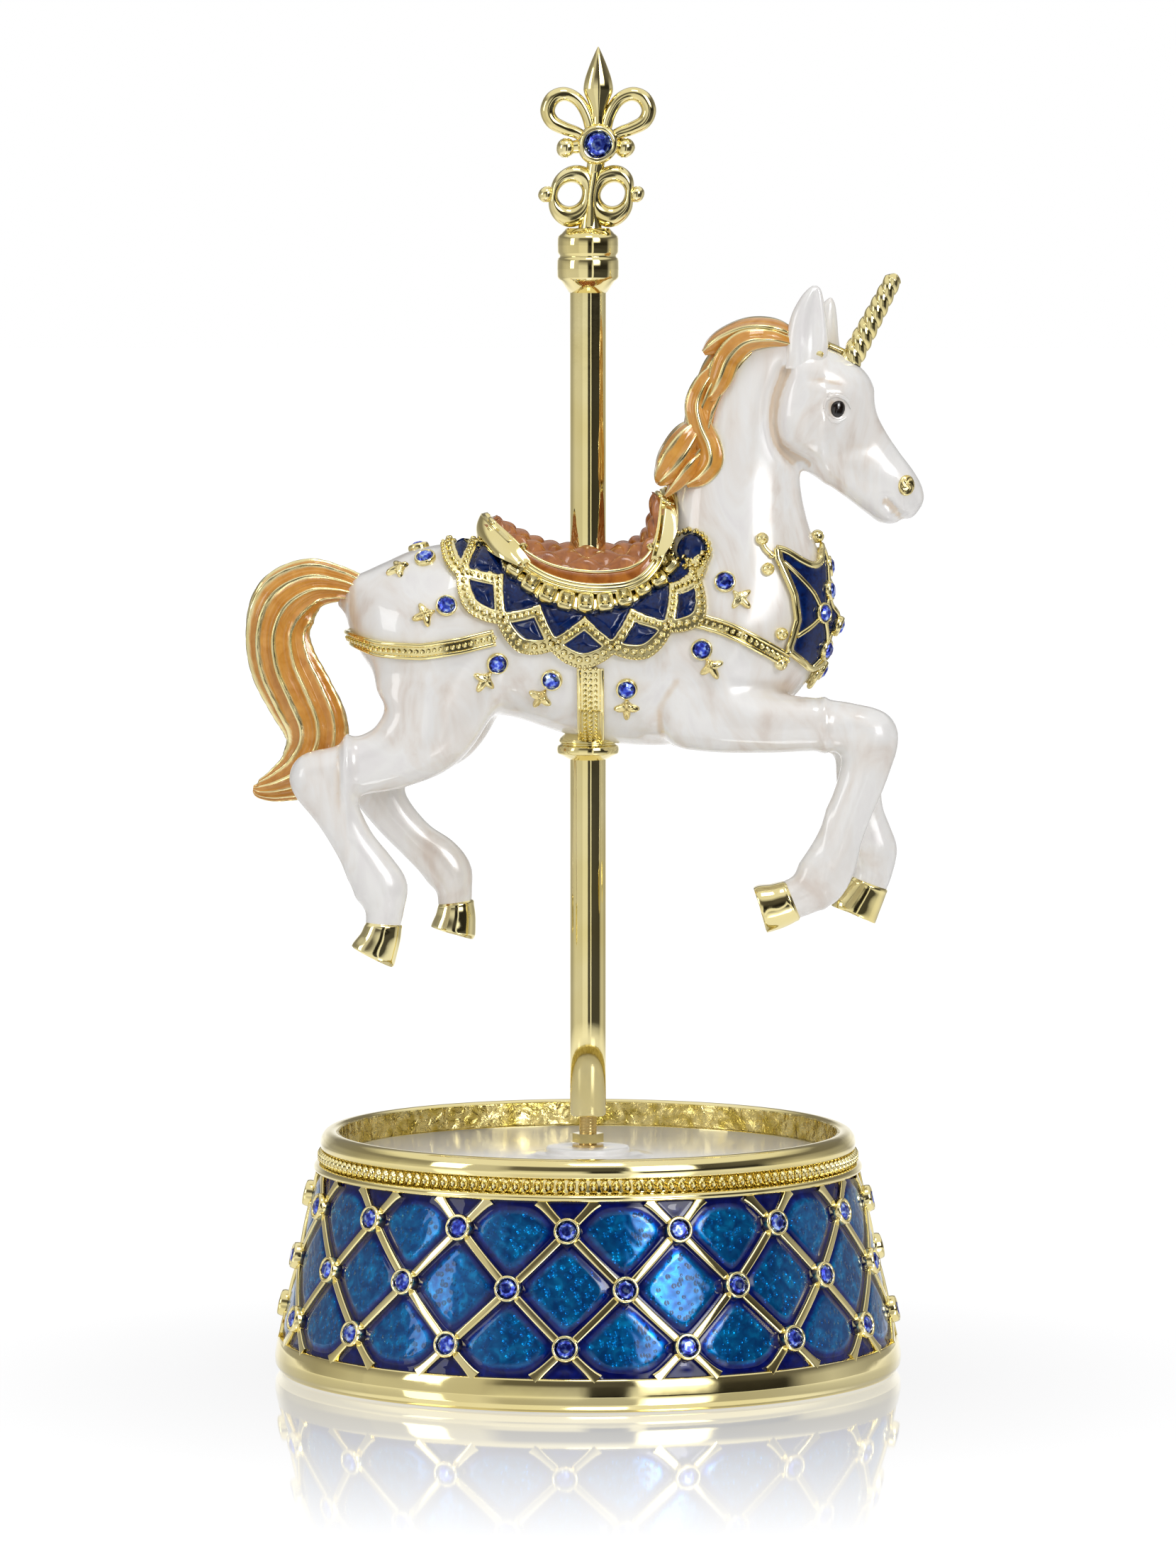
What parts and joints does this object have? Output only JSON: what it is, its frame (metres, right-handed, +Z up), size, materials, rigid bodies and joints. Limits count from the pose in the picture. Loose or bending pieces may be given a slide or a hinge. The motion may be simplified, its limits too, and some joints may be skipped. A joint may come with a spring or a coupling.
{
  "type": "carousel unicorn music box",
  "caption": "Wind-up music box: an enamelled carousel unicorn on a pole turns on a tapered drum with a lattice of blue enamel and stones.",
  "frame": {"origin": "centre of the drum's foot ring, on the table", "axes": "+Z up along the pole, the animal faces +X, its near side in the picture is -Y"},
  "size_m": [0.1122, 0.105, 0.2207],
  "materials": {
    "gold_plate": "polished",
    "blue_enamel": "gloss",
    "blue_crystal": "faceted",
    "white_plate": "gloss",
    "white_enamel": "pearl gloss",
    "amber_enamel": "gloss",
    "copper_enamel": "gloss",
    "eye_enamel": "gloss",
    "brass": "machined",
    "cover_board": "satin",
    "steel": "brushed",
    "zinc": "cast"
  },
  "bodies": {
    "base": {"base_shell": "gold_plate", "base_lattice": "gold_plate", "base_stones": "blue_crystal", "base_enamel": "blue_enamel", "bead_ring": "gold_plate", "top_plate": "white_plate", "spindle_bush": "brass", "bottom_cover": "cover_board", "cover_screws": "steel", "movement_bed": "zinc", "bed_screws": "steel", "cylinder_bearings": "zinc", "comb": "steel", "comb_block": "zinc", "comb_screws": "steel", "governor_frame": "zinc", "ratchet_pawl": "steel"},
    "carousel": {"spring_barrel": "brass", "mainspring": "steel", "crown_wheel": "brass", "spindle": "brass", "lock_nut": "gold_plate", "pole": "gold_plate", "belly_collar": "gold_plate", "horse_trunk": "white_enamel", "horse_neck_head": "white_enamel", "leg_near_fore": "white_enamel", "leg_far_fore": "white_enamel", "leg_near_hind": "white_enamel", "leg_far_hind": "white_enamel", "hooves": "gold_plate", "horn": "gold_plate", "tail": "amber_enamel", "mane": "amber_enamel", "saddle_cloth": "gold_plate", "saddle_tree": "gold_plate", "saddle_seat": "copper_enamel", "girth": "gold_plate", "hip_strap": "gold_plate", "breast_collar": "gold_plate", "chest_strap": "gold_plate", "body_settings": "gold_plate", "body_stones": "blue_crystal", "eyes": "eye_enamel", "nostrils": "gold_plate", "finial_collar": "gold_plate", "finial_scroll": "gold_plate", "finial_stones": "blue_crystal"},
    "cylinder": {"cylinder_drum": "brass", "cylinder_axle": "steel", "cylinder_wheels": "brass"},
    "governor": {"governor_axle": "steel", "governor_wheels": "brass"},
    "fly": {"fly": "brass"},
    "key": {"winding_key": "gold_plate", "winding_arbor": "steel", "ratchet_wheel": "steel"}
  },
  "joints": [
    {"name": "carousel_spin", "type": "hinge", "parent": "base", "child": "carousel", "pos_m": [0, 0, 0], "axis": [0, 0, 1], "continuous": true},
    {"name": "cylinder_spin", "type": "hinge", "parent": "base", "child": "cylinder", "pos_m": [0.025, 0, 0.02572], "axis": [1, 0, 0], "continuous": true},
    {"name": "governor_spin", "type": "hinge", "parent": "base", "child": "governor", "pos_m": [0.025, 0.00846, 0.02572], "axis": [1, 0, 0], "continuous": true},
    {"name": "fly_spin", "type": "hinge", "parent": "base", "child": "fly", "pos_m": [0.0244, 0.01276, 0.02], "axis": [0, 0, 1], "continuous": true},
    {"name": "key_wind", "type": "hinge", "parent": "base", "child": "key", "pos_m": [0, 0, 0], "axis": [0, 0, -1], "range_deg": [0, 2160]}
  ],
  "couplings": [
    {"joint": "cylinder_spin", "follows": "carousel_spin", "ratio": 3},
    {"joint": "governor_spin", "follows": "carousel_spin", "ratio": -9},
    {"joint": "fly_spin", "follows": "carousel_spin", "ratio": 108}
  ]
}
